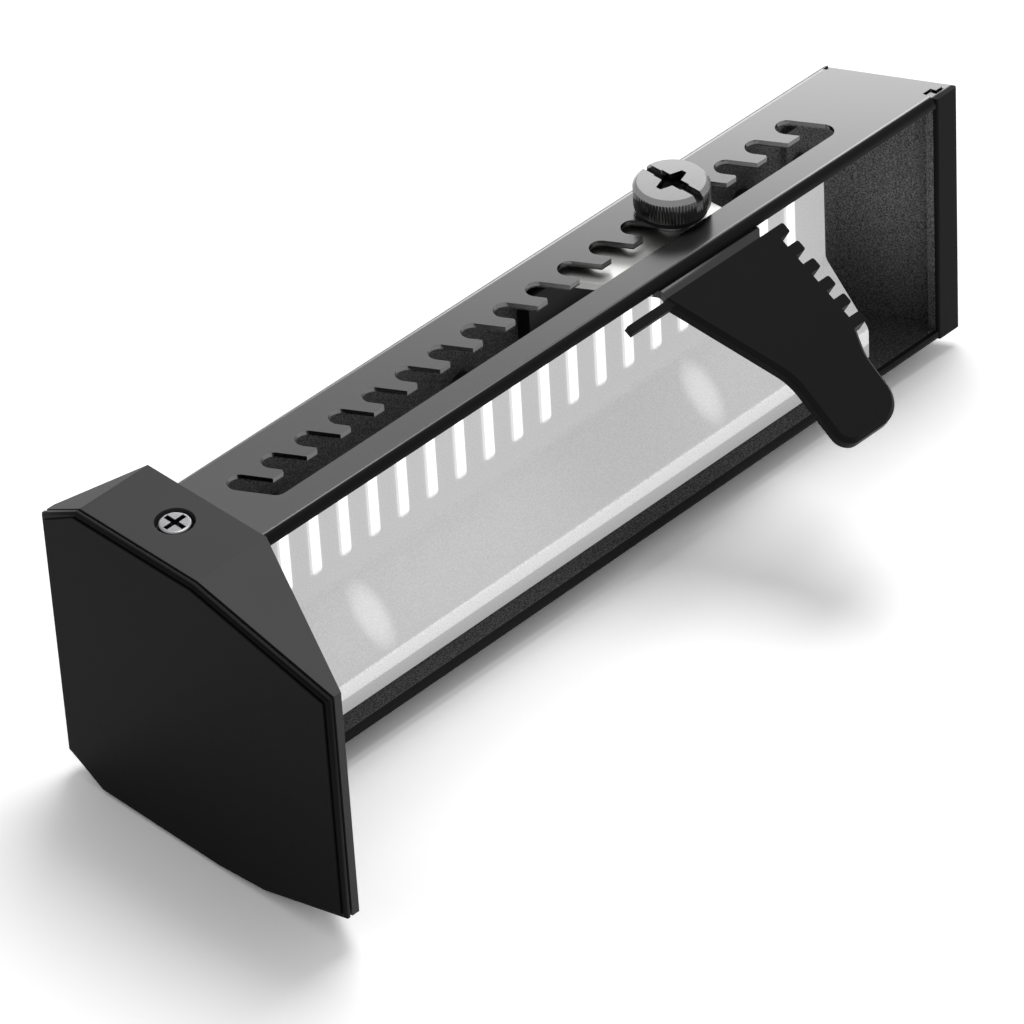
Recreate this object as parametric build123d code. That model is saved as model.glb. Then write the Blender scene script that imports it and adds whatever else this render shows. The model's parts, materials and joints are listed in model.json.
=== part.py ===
from build123d import *
import math
import os

# Graphics card support bracket. Millimetres. +X runs up the column from the foot, the open
# window of the column faces -Y, and the slotted comb wall is on top, facing +Z.
# The origin is the centre of the foot's outer face, on the axis of the column.

# Folded sheet of the column
column_depth = 23.0
column_height = 55.4
sheet = 1.2
inner_fold = 0.3
top_lip = 2.1
bottom_lip = 2.4

# Foot: a moulded sleeve, a steel plate and a rubber pad
foot_length = 17.6
foot_proud = 3.1
foot_rise = 3.6
foot_front = 46.5
foot_back = 23.5
foot_flat_half = 14.5
foot_front_half = 24.2
foot_back_half = 26.4
foot_low_corner = (-26.0, -30.2)
foot_rim = 1.6
foot_wall = 2.2
socket_wall = 2.0
pad_thickness = 0.4
plate_thickness = 1.0
pad_inset = 0.9
groove_width = 0.5
groove_depth = 0.9
plate_chamfer = 0.4

# Comb slot: a straight channel with slanted notches where the arm hooks in
slot_width = 4.3
channel_y = -2.83
notch_pitch = 8.0
first_notch_x = 27.5
last_notch_margin = 28.0
notch_end_y = 2.87
notch_angle = 30.0
tooth_chamfer = 0.6

# Folded end plate
column_length = 193.6
end_sheet = 1.4
end_slant = 27.0
end_lip = 5.8
end_hook = 2.5
end_hook_lean = 0.3
end_fold = 0.5
end_tab = 13.0
end_tab_half = 20.0
end_drop = 0.4
seam = 0.35
rivet_head = 4.8
rivet_shank = 3.2
rivet_half_spacing = 12.0
rivet_inset = 4.5
rivet_height = 0.9
rivet_round = 0.6
rivet_tail = 1.2

# Frosted light panel with its light board
panel_start = 13.5
panel_end_gap = 19.1
panel_wall = 1.6
panel_fold_radius = 0.8
panel_depth = 7.0
panel_recess = 5.5
panel_top_z = 14.7
panel_fold_z = -8.7
panel_slope = 46.7
boss_diameter = 5.0
boss_starts = (27.0, 73.0)
boss_end_gap = 16.0
panel_boss_z = 10.5
low_boss_start = 49.0
low_boss_end_gap = 28.0
panel_low_boss_z = -13.0
flute_first_x = 23.1
flute_pitch = 7.1
flute_margin = 7.0
flute_width = 2.4
flute_height = 0.4
flute_bottom_z = -3.7
board_height = 9.0
board_thickness = 1.0
board_centre_z = 0.5
board_margin = 2.0
light_length = 3.5
light_width = 2.8
light_height = 1.6
driver_start = 101.2
driver_end = 138.5
driver_depth = 3.2
driver_top_gap = 3.8
driver_height = 15.0
driver_chamfer = 0.4
grommet_x = 27.0
grommet_rise = 8.7
grommet_bore = 3.2
grommet_neck = 6.0
grommet_rim = 8.5
grommet_lip = 1.0

# Small screws
m3 = 3.0
cap_screw_x = 10.25
cap_head = 5.9
cap_head_height = 1.7
cap_round = 0.5
cap_recess = 7.1
cap_recess_depth = 1.9
nut_outer = 6.4
nut_height = 3.0
cross_width = 0.95
cross_length = 4.6
cross_depth = 0.9
m2_head = 3.8
m2_head_height = 1.0
m2_round = 0.4
m2_shank = 2.0
m2_length = 3.6
base_head = 4.4
base_shank = 2.5
base_screw_length = 5.2
base_boss = 6.0
front_screw = (-33.0, 15.0)
back_screw = (17.4, 15.0)
magnet_length = 20.0
magnet_width = 12.0
magnet_thickness = 4.0
magnet_y = -23.0
magnet_z = 12.0
rib = 1.2

# Support arm: a bent steel blade in a moulded black sleeve with a toothed edge
arm_tilt = 30.0
arm_root_out = 2.2
arm_root_drop = 1.39
sleeve_thickness = 3.3
sleeve_left = 114.4
sleeve_right = 142.0
sleeve_reach = 40.3
sleeve_chamfer = 0.8
tooth_count = 6
tooth_pitch = 4.2
tooth_width = 2.2
tooth_reach = 2.6
tooth_round = 0.45
tab_reach = 9.5
tab_width = 1.7
tab_offset = 0.2
blade_sheet = 1.6
blade_side = 1.1
blade_right = 139.4
blade_step = 2.2
blade_waist = 20.0
blade_waist_left = 10.2
blade_tip_left = 11.0
blade_reach = 36.0
blade_bend = 1.0
flange_right = 140.5
flange_step_y = 0.4
flange_back = 6.0
flange_gap = 1.15

# Thumb screw, washer and clinch nut of the arm
thumb_notch = 13
thumb_back_off = 1.6
thread_radius = 1.95
running = 0.05
thumb_head = 13.9
thumb_head_height = 5.2
thumb_rim = 0.75
thumb_rim_height = 0.9
thumb_foot = 0.35
thumb_length = 8.2
thumb_point = 0.4
knurl_count = 72
knurl_depth = 0.16
coin_slot_width = 1.7
coin_slot_depth = 1.5
cross_arm_length = 6.7
cross_arm_tip = 1.1
cross_arm_root = 2.8
cross_arm_side = 2.2
cross_arm_depth = 2.3
cross_centre = 2.6
cross_centre_depth = 3.2
washer_diameter = 12.8
washer_thickness = 1.0
washer_hole_gap = 0.3
washer_chamfer = 0.2
collar_diameter = 8.0
nut_neck = 6.0
nut_body = 7.0
nut_body_height = 2.5

# Places worked out from the sizes above
front = -column_depth / 2
back = column_depth / 2
top = column_height / 2
inner_back = back - sheet
inner_top = top - sheet
floor_z = -inner_top
cap_top = top + foot_rise
column_start = pad_thickness + plate_thickness
cap_start = column_start + groove_width
slope_start = cap_start + foot_rim
panel_end = column_length - panel_end_gap
panel_front_y = back - panel_depth
panel_lip_y = front + panel_recess
panel_boss_x = [panel_start + start for start in boss_starts] + [panel_end - boss_end_gap]
panel_low_boss_x = [panel_start + low_boss_start, panel_end - low_boss_end_gap]
flute_count = 1 + math.floor((panel_end - flute_margin - flute_first_x) / flute_pitch)
notch_count = 1 + math.floor((column_length - last_notch_margin - first_notch_x) / notch_pitch)
grommet_z = grommet_rise - top
arm_root_y = front - arm_root_out
arm_root_z = inner_top - arm_root_drop
lip_start = column_length - end_lip
slant = math.tan(math.radians(end_slant))
slide = (math.sin(math.radians(notch_angle)), -math.cos(math.radians(notch_angle)))
notch_run = (notch_end_y - channel_y) / math.cos(math.radians(notch_angle))
thumb_x = first_notch_x + thumb_notch * notch_pitch + thumb_back_off * slide[0]
thumb_y = notch_end_y + thumb_back_off * slide[1]
flange_top = inner_top - flange_gap
flange_bottom = flange_top - blade_sheet
arm_plane = Plane(
    origin=(0, arm_root_y, arm_root_z),
    x_dir=(1, 0, 0),
    z_dir=(0, -math.sin(math.radians(arm_tilt)), math.cos(math.radians(arm_tilt))),
)


def bar(x0, x1, y0, y1, z0, z1):
    """A block between two corners."""
    centre = ((x0 + x1) / 2, (y0 + y1) / 2, (z0 + z1) / 2)
    return Pos(*centre) * Box(x1 - x0, y1 - y0, z1 - z0)


def pin(place, axis, radius, length):
    """A cylinder that starts at place and runs along axis."""
    return extrude(Plane(origin=place, z_dir=axis) * Circle(radius), length)


def prism(points, low, high):
    """An outline in the XY plane, raised from one height to another."""
    return extrude(Pos(0, 0, low) * make_face(Polyline(*points, close=True)), high - low)


def inset_path(points, distance):
    """An open path moved sideways to its left by a distance, with sharp corners."""
    sides = []
    for start, end in zip(points, points[1:]):
        run = Vector(*end) - Vector(*start)
        shift = Vector(-run.Y, run.X).normalized() * distance
        sides.append((Vector(*start) + shift, Vector(*end) + shift))
    moved = [sides[0][0]]
    for (a, b), (c, d) in zip(sides, sides[1:]):
        first, second, between = b - a, d - c, c - a
        share = (between.X * second.Y - between.Y * second.X) / (first.X * second.Y - first.Y * second.X)
        moved.append(a + first * share)
    moved.append(sides[-1][1])
    return [(p.X, p.Y) for p in moved]


def folded_sheet(points, thickness, inner_radius, outer_radius=None):
    """The section of a sheet whose outer side follows points, with the sheet on their left."""
    outside = FilletPolyline(*points, radius=outer_radius or inner_radius + thickness)
    inside = FilletPolyline(*inset_path(points, thickness), radius=inner_radius)
    ends = [Line(outside @ 0, inside @ 0), Line(outside @ 1, inside @ 1)]
    return make_face(Wire([*outside.edges(), *inside.edges(), *ends[0].edges(), *ends[1].edges()]))


def end_face_x(y, inset=0.0):
    """Where the slanted end plate stands at a given Y, or a plane that far inside it."""
    return column_length - (y - front) * slant - inset / math.cos(math.radians(end_slant))


def comb_slot():
    """The channel and its slanted notches, as one flat outline."""
    channel_start = first_notch_x + notch_run * slide[0]
    channel_end = channel_start + (notch_count - 1) * notch_pitch
    channel = SlotCenterToCenter(channel_end - channel_start, slot_width)
    outline = Pos((channel_start + channel_end) / 2, channel_y) * channel
    for index in range(notch_count):
        x = first_notch_x + index * notch_pitch + notch_run * slide[0] / 2
        y = notch_end_y + notch_run * slide[1] / 2
        outline += Pos(x, y) * Rot(0, 0, notch_angle - 90) * SlotCenterToCenter(notch_run, slot_width)
    shoulder = channel_y + slot_width / 2
    corners = outline.vertices().filter_by(lambda v: abs(v.Y - shoulder) < 0.01).sort_by(Axis.X)
    return chamfer(corners[1:-1:2], tooth_chamfer)


def column():
    outer = fillet(Rectangle(column_depth, column_height).vertices(), inner_fold + sheet)
    inner = Rectangle(column_depth - 2 * sheet, column_height - 2 * sheet)
    inner = fillet(inner.vertices(), inner_fold)
    window_height = column_height - top_lip - bottom_lip
    window = Pos(front, (bottom_lip - top_lip) / 2) * Rectangle(3 * sheet, window_height)
    section = Plane.YZ.offset(column_start) * (outer - inner - window)
    body = extrude(section, column_length - column_start)
    beyond_end = [
        (end_face_x(front - 1, end_sheet), front - 1),
        (end_face_x(inner_back, end_sheet), inner_back),
        (end_face_x(inner_back), inner_back),
        (end_face_x(back + 1), back + 1),
        (column_length + 5, back + 1),
        (column_length + 5, front - 1),
    ]
    body -= prism(beyond_end, -top, top)
    body -= prism(corner_notch(), -top, top)
    body -= extrude(Pos(0, 0, inner_top - sheet) * comb_slot(), 3 * sheet)
    for side in (-1, 1):
        body -= pin((cap_screw_x, 0, side * (inner_top - 1)), (0, 0, side), m3 / 2, sheet + 2)
    for x, z in rivet_places():
        body -= pin((x, inner_back - 1, z), (0, 1, 0), rivet_shank / 2, sheet + 2)
    for x, z in panel_screw_places():
        body -= pin((x, inner_back - 1, z), (0, 1, 0), m2_shank / 2, sheet + 2)
    body -= pin((grommet_x, inner_back - 1, grommet_z), (0, 1, 0), grommet_neck / 2, sheet + 2)
    return body


def corner_notch():
    """The part of the comb wall's corner that makes room for the end plate's lip and hook."""
    lip_back = front + end_sheet + seam
    hook_back = front + end_hook + seam
    hook_right = lip_start + end_sheet + seam
    return [
        (lip_start - seam, front - 1),
        (lip_start - seam, front),
        (lip_start - seam - end_hook_lean, hook_back),
        (hook_right - end_hook_lean, hook_back),
        (hook_right, lip_back),
        (column_length + 5, lip_back),
        (column_length + 5, front - 1),
    ]


def rivet_places():
    x = end_face_x(inner_back, end_sheet) - end_tab + rivet_inset
    return [(x, -rivet_half_spacing), (x, rivet_half_spacing)]


def end_plate():
    outside = [
        (end_face_x(inner_back) - end_tab, inner_back),
        (end_face_x(inner_back), inner_back),
        (column_length, front),
        (lip_start, front),
        (lip_start - end_hook_lean, front + end_hook),
    ]
    section = folded_sheet(outside[::-1], end_sheet, inner_fold, end_fold)
    half = top - end_drop
    body = extrude(Pos(0, 0, -half) * section, 2 * half)
    tab_end = end_face_x(inner_back, end_sheet) - 2 * end_sheet
    for side in (-1, 1):
        z0, z1 = sorted((side * end_tab_half, side * column_height))
        body -= bar(tab_end - end_tab, tab_end, inner_back - 2 * end_sheet, back, z0, z1)
    lip_back = front + end_sheet + 0.01
    hook_right = lip_start + end_sheet + seam
    hook_back = front + end_hook + seam
    inside_corner = [
        (end_face_x(back, end_sheet), back),
        (end_face_x(lip_back, end_sheet), lip_back),
        (hook_right, lip_back),
        (hook_right, hook_back),
        (tab_end - end_tab, hook_back),
        (tab_end - end_tab, back),
    ]
    for side in (-1, 1):
        z0, z1 = sorted((side * (inner_top - inner_fold), side * column_height))
        body -= prism(inside_corner, z0, z1)
    for x, z in rivet_places():
        body -= pin((x, 0, z), (0, 1, 0), rivet_shank / 2, back)
    return body


def end_rivets():
    solids = []
    for x, z in rivet_places():
        shank_start = inner_back - end_sheet
        shank = pin((x, shank_start, z), (0, 1, 0), rivet_shank / 2, sheet + end_sheet)
        head = pin((x, back, z), (0, 1, 0), rivet_head / 2, rivet_height)
        head = fillet(head.edges().sort_by(Axis.Y)[-1:], rivet_round)
        tail = pin((x, shank_start, z), (0, -1, 0), (rivet_head + rivet_shank) / 4, rivet_tail)
        solids.append(shank + head + tail)
    return solids


def panel_outline():
    """Front face of the light panel in the YZ plane, from its lower edge to its top."""
    drop = (panel_front_y - panel_lip_y) * math.tan(math.radians(panel_slope))
    return [
        (panel_lip_y, floor_z),
        (panel_lip_y, panel_fold_z - drop),
        (panel_front_y, panel_fold_z),
        (panel_front_y, panel_top_z),
    ]


def panel_screw_places():
    high = [(x, panel_boss_z) for x in panel_boss_x]
    low = [(x, panel_low_boss_z) for x in panel_low_boss_x]
    return high + low


def light_panel():
    length = panel_end - panel_start
    face = panel_outline()
    section = folded_sheet(face[::-1], panel_wall, panel_fold_radius)
    place = Plane.YZ.offset(panel_start)
    body = extrude(place * section, length)
    behind = make_face(Polyline(*face, (inner_back, panel_top_z), (inner_back, floor_z), close=True))
    behind = extrude(place * behind, length)
    for x, z in panel_screw_places():
        boss = pin((x, inner_back, z), (0, -1, 0), boss_diameter / 2, column_depth / 2)
        solid_boss = boss & behind
        reach = inner_back - panel_front_y
        if z < panel_fold_z:
            reach += (panel_fold_z - z) / math.tan(math.radians(panel_slope))
        boss_front = inner_back - reach + panel_wall / 2
        solid_boss &= bar(x - boss_diameter, x + boss_diameter, boss_front, inner_back,
                          z - boss_diameter, z + boss_diameter)
        body += solid_boss
    for x, z in panel_screw_places():
        body -= pin((x, inner_back, z), (0, -1, 0), m2_shank / 2, m2_length - sheet)
    flute_length = panel_top_z - flute_bottom_z
    flute = SlotCenterToCenter(2 * (flute_length - flute_width / 2), flute_width, rotation=90)
    front_face = Plane(origin=(0, panel_front_y, panel_top_z), x_dir=(1, 0, 0), z_dir=(0, -1, 0))
    for index in range(flute_count):
        x = flute_first_x + index * flute_pitch
        rib_body = extrude(front_face * Pos(x, 0) * flute, flute_height)
        body += rib_body & bar(x - flute_width, x + flute_width, front, back, flute_bottom_z, panel_top_z)
    return body


def panel_screws():
    solids = []
    for x, z in panel_screw_places():
        head = pin((x, back, z), (0, 1, 0), m2_head / 2, m2_head_height)
        head = fillet(head.edges().sort_by(Axis.Y)[-1:], m2_round)
        shank = pin((x, back, z), (0, -1, 0), m2_shank / 2, m2_length)
        solids.append(head + shank)
    return solids


def light_board():
    y1 = inner_back
    y0 = y1 - board_thickness
    z0 = board_centre_z - board_height / 2
    tab_start = end_face_x(inner_back) - end_tab
    return bar(panel_start + board_margin, tab_start - board_margin, y0, y1, z0, z0 + board_height)


def lights():
    solids = []
    y1 = inner_back - board_thickness
    for index in range(flute_count - 1):
        x = flute_first_x + index * flute_pitch
        body = bar(x - light_length / 2, x + light_length / 2, y1 - light_height, y1,
                   board_centre_z - light_width / 2, board_centre_z + light_width / 2)
        solids.append(body)
    return solids


def driver_module():
    z1 = inner_top - driver_top_gap
    body = bar(driver_start, driver_end, inner_back - driver_depth, inner_back, z1 - driver_height, z1)
    return chamfer(body.edges().filter_by(Axis.X).sort_by(Axis.Y)[:2], driver_chamfer)


def cable_grommet():
    """A rubber ring with a groove that takes the edge of the hole in the back wall."""
    section = [
        (grommet_bore / 2, -grommet_lip),
        (grommet_rim / 2, -grommet_lip),
        (grommet_rim / 2, 0),
        (grommet_neck / 2, 0),
        (grommet_neck / 2, sheet),
        (grommet_rim / 2, sheet),
        (grommet_rim / 2, sheet + grommet_lip),
        (grommet_bore / 2, sheet + grommet_lip),
    ]
    place = Plane(origin=(grommet_x, inner_back, grommet_z), x_dir=(1, 0, 0), z_dir=(0, 0, 1))
    ring = revolve(place * make_face(Polyline(*section, close=True)), Axis((grommet_x, 0, grommet_z), (0, 1, 0)))
    return ring


def foot_envelope(x0, x1, inset):
    """The slanted block of the foot between two planes, with its sides moved in by inset."""
    corners = []
    for x in (x0, slope_start, x1):
        share = max(0, (x - slope_start) / (foot_length - slope_start))
        corners += [(x, y, z) for y, z in foot_corners(inset, share)]
    return ConvexPolyhedron(corners)


def foot_corners(inset, share=0.0):
    """Corners of the foot's outline in the YZ plane, at a share of the way up its slope."""
    rim_half = column_depth / 2 + foot_proud - inset
    flat = cap_top - inset
    wide = [
        (-foot_front + inset, foot_front_half - inset),
        (-foot_flat_half, flat),
        (foot_flat_half, flat),
        (foot_back - inset, foot_back_half - inset),
        (foot_back - inset, inset - foot_back_half),
        (foot_flat_half, -flat),
        (-foot_flat_half, -flat),
        (foot_low_corner[0], foot_low_corner[1] + inset),
        (-foot_front + inset, inset - foot_front_half),
    ]
    narrow = [(math.copysign(rim_half, y), math.copysign(flat, z)) for y, z in wide]
    return [(y + share * (end_y - y), z + share * (end_z - z))
            for (y, z), (end_y, end_z) in zip(wide, narrow)]


def foot_outline(inset):
    """Outline of the foot's wide end in the YZ plane."""
    return make_face(Polyline(*foot_corners(inset), close=True))


def base_screw_places():
    return [(y, side * z) for y, z in (front_screw, back_screw) for side in (-1, 1)]


def foot_cap():
    envelope = foot_envelope(cap_start, foot_length, 0)
    neck = extrude(Plane.YZ.offset(column_start) * foot_outline(groove_depth), groove_width)
    shell = envelope + neck
    hollow = foot_envelope(column_start, foot_length - foot_wall, foot_wall)
    shell -= hollow
    half_y = column_depth / 2 + running
    half_z = column_height / 2 + running
    inside = bar(cap_start, foot_length, -half_y - socket_wall, half_y + socket_wall,
                 -half_z - socket_wall, half_z + socket_wall)
    for y, z in base_screw_places():
        inside += pin((column_start, y, z), (1, 0, 0), base_boss / 2, foot_length)
    for side in (-1, 1):
        half_l = magnet_length / 2 + rib
        half_w = magnet_width / 2 + rib
        centre_z = side * magnet_z
        frame = bar(cap_start, foot_length, magnet_y - half_w, magnet_y + half_w,
                    centre_z - half_l, centre_z + half_l)
        frame -= bar(column_start, foot_length, magnet_y - magnet_width / 2, magnet_y + magnet_width / 2,
                     centre_z - magnet_length / 2, centre_z + magnet_length / 2)
        stop = bar(column_start + magnet_thickness, foot_length, magnet_y - magnet_width / 2,
                   magnet_y + magnet_width / 2, centre_z - rib, centre_z + rib)
        inside += frame + stop
    shell += inside & (envelope + neck)
    bore = fillet(Rectangle(2 * half_y, 2 * half_z).vertices(), inner_fold + sheet)
    shell -= extrude(Plane.YZ.offset(column_start) * bore, foot_length)
    for side in (-1, 1):
        shell -= pin((cap_screw_x, 0, side * (cap_top + 1)), (0, 0, -side), cap_recess / 2, cap_recess_depth + 1)
        shell -= pin((cap_screw_x, 0, side * inner_top), (0, 0, side), m3 / 2, foot_rise + sheet)
    for y, z in base_screw_places():
        shell -= pin((column_start, y, z), (1, 0, 0), base_shank / 2, base_screw_length - plate_thickness)
    return shell


def base_plate():
    body = extrude(Plane.YZ.offset(pad_thickness) * foot_outline(0), plate_thickness)
    body = chamfer(body.edges().group_by(Axis.X)[0], plate_chamfer)
    for y, z in base_screw_places():
        body -= base_screw_cone(y, z)
        body -= pin((pad_thickness, y, z), (1, 0, 0), base_shank / 2, plate_thickness)
    return body


def base_screw_cone(y, z):
    """The countersunk head: a cone that narrows to the thread inside the plate."""
    cone_height = (base_head - base_shank) / 2
    wide = Plane(origin=(pad_thickness, y, z), z_dir=(1, 0, 0)) * Circle(base_head / 2)
    narrow = Plane(origin=(pad_thickness + cone_height, y, z), z_dir=(1, 0, 0)) * Circle(base_shank / 2)
    return loft([wide, narrow])


def base_screws():
    solids = []
    for y, z in base_screw_places():
        shank = pin((pad_thickness, y, z), (1, 0, 0), base_shank / 2, base_screw_length)
        solids.append(base_screw_cone(y, z) + shank)
    return solids


def base_pad():
    return extrude(Plane.YZ * foot_outline(pad_inset), pad_thickness)


def magnets():
    solids = []
    for side in (-1, 1):
        z = side * magnet_z
        solids.append(bar(column_start, column_start + magnet_thickness, magnet_y - magnet_width / 2,
                          magnet_y + magnet_width / 2, z - magnet_length / 2, z + magnet_length / 2))
    return solids


def cross_recess(width, length, depth):
    """Two crossed bars, cut into a screw's head from its top face downwards."""
    cross = Rectangle(length, width) + Rectangle(width, length)
    return extrude(cross, -depth)


def cap_screw(side):
    seat = cap_top - cap_recess_depth
    head = pin((cap_screw_x, 0, side * seat), (0, 0, side), cap_head / 2, cap_head_height)
    rim = max(head.edges(), key=lambda edge: side * edge.center().Z)
    head = fillet(rim, cap_round)
    face = Plane(origin=(cap_screw_x, 0, side * (seat + cap_head_height)), z_dir=(0, 0, side))
    head -= face * cross_recess(cross_width, cross_length, cross_depth)
    length = seat - inner_top + nut_height
    return head + pin((cap_screw_x, 0, side * seat), (0, 0, -side), m3 / 2, length)


def clinch_nuts():
    solids = []
    for side in (-1, 1):
        place = (cap_screw_x, 0, side * inner_top)
        body = pin(place, (0, 0, -side), nut_outer / 2, nut_height)
        solids.append(body - pin(place, (0, 0, -side), m3 / 2, nut_height))
    return solids


def arm_bracket():
    """A bent sheet: a flange under the comb wall and a blade that carries the sleeve."""
    tilt = math.radians(arm_tilt)
    blade_depth = (sleeve_thickness - blade_sheet) / 2
    run_z = arm_root_z - blade_depth / math.cos(tilt)
    bend_y = arm_root_y + (flange_top - run_z) / math.tan(tilt)
    end_y = arm_root_y - blade_reach * math.cos(tilt) - blade_depth * math.sin(tilt)
    end_z = run_z - (arm_root_y - end_y) * math.tan(tilt)
    outside = [(flange_back, flange_top), (bend_y, flange_top), (end_y, end_z)]
    section = folded_sheet(outside, blade_sheet, blade_bend)
    wide = extrude(Plane.YZ.offset(sleeve_left - blade_reach) * section, 3 * blade_reach)
    slope = slide[0] / -slide[1]
    left = sleeve_left + blade_side
    outline = [
        (left - (flange_back + 1 - bend_y) * slope, flange_back + 1),
        (flange_right, flange_back + 1),
        (flange_right, front - flange_step_y),
        (blade_right, front - flange_step_y - flange_right + blade_right),
        (blade_right, arm_root_y),
        (blade_right - blade_step, arm_root_y - blade_waist),
        (blade_right - 2 * blade_step, end_y - 1),
        (left + blade_tip_left, end_y - 1),
        (left + blade_waist_left, arm_root_y - blade_waist),
        (left, arm_root_y),
        (left, bend_y),
    ]
    body = wide & prism(outline, -top, top + 5)
    body -= pin((thumb_x, thumb_y, flange_bottom - 1), (0, 0, 1), nut_neck / 2, blade_sheet + 2)
    return body


def sleeve_outline():
    """Outline of the sleeve in the arm's plane: X along the column, Y back towards the root."""
    corners = [
        (sleeve_left, 0),
        (sleeve_left + 9.9, -sleeve_reach + 15.8),
        (sleeve_left + 8.8, -sleeve_reach),
        (sleeve_right - 3.3, -sleeve_reach),
        (sleeve_right - 2.2, -sleeve_reach + 12.0),
        (sleeve_right, -tooth_pitch * tooth_count + tooth_pitch - tooth_width),
        (sleeve_right, 0),
    ]
    radii = (12.0, 3.2, 6.0, 10.0)
    outline = make_face(Polyline(*corners, close=True))
    for (x, y), radius in zip(corners[1:5], radii):
        spot = outline.vertices().sort_by(lambda v: math.hypot(v.X - x, v.Y - y))[0]
        outline = fillet(spot, radius)
    return outline


def sleeve_teeth():
    teeth = Sketch()
    for index in range(tooth_count):
        y = -index * tooth_pitch - tooth_width / 2
        tooth = Pos(sleeve_right, y) * Rectangle(2 * tooth_reach, tooth_width)
        tips = tooth.vertices().sort_by(Axis.X)[-2:]
        teeth += fillet(tips, tooth_round)
    return teeth


def arm_sleeve(bracket):
    body = extrude(arm_plane * sleeve_outline(), -sleeve_thickness)
    faces = body.faces().filter_by(Plane(arm_plane.origin, z_dir=arm_plane.z_dir))
    rounded = []
    for face in faces:
        for edge in face.edges():
            middle = edge @ 0.5
            at_root = abs(middle.Y - arm_root_y) < sleeve_thickness and middle.Z > arm_root_z - sleeve_thickness
            if not at_root and middle.X < sleeve_right - 1:
                rounded.append(edge)
    body = chamfer(rounded, sleeve_chamfer)
    body += extrude(arm_plane * sleeve_teeth(), -sleeve_thickness)
    tab = Pos(sleeve_left - tab_reach / 2 + 2, -tab_offset - tab_width / 2)
    tab = tab * Rectangle(tab_reach + 4, tab_width)
    body += extrude(arm_plane.offset(-0.3) * tab, -blade_sheet)
    return body - bracket


def arm_nut():
    """A turned nut: its collar above the flange, its neck in the flange and its body below."""
    collar_top = inner_top - running
    profile = [
        (thread_radius + running, collar_top),
        (collar_diameter / 2, collar_top),
        (collar_diameter / 2, flange_top),
        (nut_neck / 2, flange_top),
        (nut_neck / 2, flange_bottom),
        (nut_body / 2, flange_bottom),
        (nut_body / 2, flange_bottom - nut_body_height),
        (thread_radius + running, flange_bottom - nut_body_height),
    ]
    return turned(profile)


def turned(profile):
    """A profile of radius and height, turned about the thumb screw's axis."""
    section = Plane.XZ * make_face(Polyline(*profile, close=True))
    return Pos(thumb_x, thumb_y, 0) * revolve(section, Axis.Z)


def thumb_washer():
    ring = Circle(washer_diameter / 2) - Circle(thread_radius + washer_hole_gap)
    return chamfer_rim(extrude(Pos(thumb_x, thumb_y, top) * ring, washer_thickness))


def chamfer_rim(body):
    upper = body.edges().group_by(Axis.Z)[-1].sort_by(SortBy.LENGTH)[-1:]
    return chamfer(upper, washer_chamfer)


def thumb_screw():
    head_base = top + washer_thickness
    head_top = head_base + thumb_head_height
    rim = thumb_head / 2
    outline = Circle(rim)
    groove = Rot(0, 0, 45) * Rectangle(knurl_depth * math.sqrt(2), knurl_depth * math.sqrt(2))
    outline -= PolarLocations(rim, knurl_count) * groove
    head = extrude(Pos(thumb_x, thumb_y, head_base) * outline, thumb_head_height)
    envelope = turned([
        (0, head_base),
        (rim - thumb_foot, head_base),
        (rim, head_base + thumb_foot),
        (rim, head_top - thumb_rim_height),
        (rim - thumb_rim, head_top),
        (0, head_top),
    ])
    head &= envelope
    head_face = Pos(thumb_x, thumb_y, head_top)
    head -= head_face * extrude(Rectangle(coin_slot_width, 2 * thumb_head), -coin_slot_depth)
    head -= head_face * thumb_recess()
    shank = pin((thumb_x, thumb_y, head_base), (0, 0, -1), thread_radius, thumb_length)
    return head + chamfer(shank.edges().sort_by(Axis.Z)[:1], thumb_point)


def thumb_recess():
    """The cross recess: two arms that widen towards the coin slot, two straight ones and a deep centre."""
    tip_x, root_x = cross_arm_length / 2, coin_slot_width / 2
    flared = [
        (-tip_x, -cross_arm_tip / 2), (-root_x, -cross_arm_root / 2), (root_x, -cross_arm_root / 2),
        (tip_x, -cross_arm_tip / 2), (tip_x, cross_arm_tip / 2), (root_x, cross_arm_root / 2),
        (-root_x, cross_arm_root / 2), (-tip_x, cross_arm_tip / 2),
    ]
    arms = make_face(Polyline(*flared, close=True)) + Rectangle(cross_arm_side, cross_arm_length)
    centre = extrude(Circle(cross_centre / 2), -cross_centre_depth)
    return extrude(arms, -cross_arm_depth) + centre


def main():
    bracket = arm_bracket()
    parts = {
        "column": column(),
        "end_plate": end_plate(),
        "end_rivets": end_rivets(),
        "light_panel": light_panel(),
        "panel_screws": panel_screws(),
        "light_board": light_board(),
        "lights": lights(),
        "driver_module": driver_module(),
        "cable_grommet": cable_grommet(),
        "foot_cap": foot_cap(),
        "base_plate": base_plate(),
        "base_pad": base_pad(),
        "base_screws": base_screws(),
        "magnets": magnets(),
        "cap_screw_top": cap_screw(1),
        "cap_screw_bottom": cap_screw(-1),
        "clinch_nuts": clinch_nuts(),
        "arm_bracket": bracket,
        "arm_sleeve": arm_sleeve(bracket),
        "arm_nut": arm_nut(),
        "thumb_washer": thumb_washer(),
        "thumb_screw": thumb_screw(),
    }
    os.makedirs("parts", exist_ok=True)
    for name, shape in parts.items():
        solids = shape if isinstance(shape, list) else [shape]
        bodies = [solid for item in solids for solid in item.solids()]
        whole = bodies[0] if len(bodies) == 1 else Compound(children=bodies)
        export_step(whole, f"parts/{name}.step")


main()
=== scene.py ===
import json
import math

import bmesh
import bpy
from mathutils import Matrix, Vector


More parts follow.
